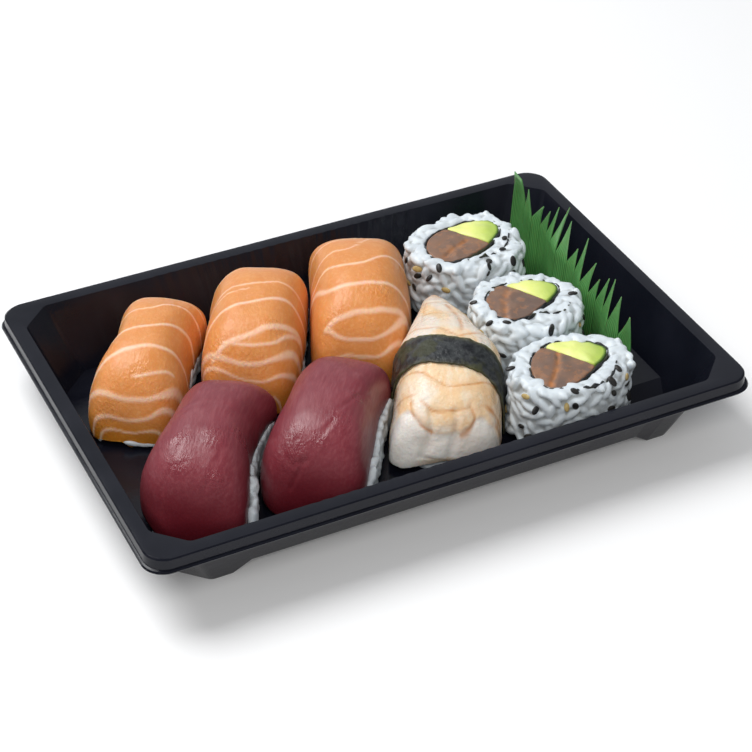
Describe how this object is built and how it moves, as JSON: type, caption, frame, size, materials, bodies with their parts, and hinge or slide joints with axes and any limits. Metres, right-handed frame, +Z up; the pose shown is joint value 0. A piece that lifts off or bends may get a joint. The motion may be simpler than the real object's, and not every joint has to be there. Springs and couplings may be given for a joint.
{
  "type": "takeaway sushi tray",
  "caption": "Black takeaway tray with raised feet and a flat rim, holding salmon, tuna and prawn nigiri, inside-out rolls and a strip of plastic grass.",
  "frame": {"origin": "on the ground under the middle of the tray", "axes": "+X along the tray's long side towards the rolls, +Y to its back long side, +Z up"},
  "size_m": [0.19, 0.1312, 0.0355],
  "materials": {
    "black_plastic": "gloss black thermoformed sheet",
    "salmon": "raw salmon, moist sheen",
    "tuna": "raw tuna, moist sheen",
    "prawn": "cooked prawn, moist sheen",
    "rice": "boiled rice",
    "seaweed": "roasted seaweed sheet",
    "roll_salmon": "cut salmon filling",
    "avocado": "cut avocado",
    "green_plastic": "thin green plastic sheet"
  },
  "bodies": {
    "root": {"tray": "black_plastic", "grass_divider": "green_plastic", "prawn": "prawn", "prawn_rice": "rice", "seaweed_band": "seaweed", "salmon_slice_1": "salmon", "salmon_rice_1": "rice", "roll_rice_1": "rice", "roll_seaweed_1": "seaweed", "roll_salmon_1": "roll_salmon", "roll_avocado_1": "avocado", "salmon_slice_2": "salmon", "salmon_rice_2": "rice", "roll_rice_2": "rice", "roll_seaweed_2": "seaweed", "roll_salmon_2": "roll_salmon", "roll_avocado_2": "avocado", "salmon_slice_3": "salmon", "salmon_rice_3": "rice", "roll_rice_3": "rice", "roll_seaweed_3": "seaweed", "roll_salmon_3": "roll_salmon", "roll_avocado_3": "avocado", "tuna_slice_1": "tuna", "tuna_rice_1": "rice", "tuna_slice_2": "tuna", "tuna_rice_2": "rice"}
  },
  "joints": []
}
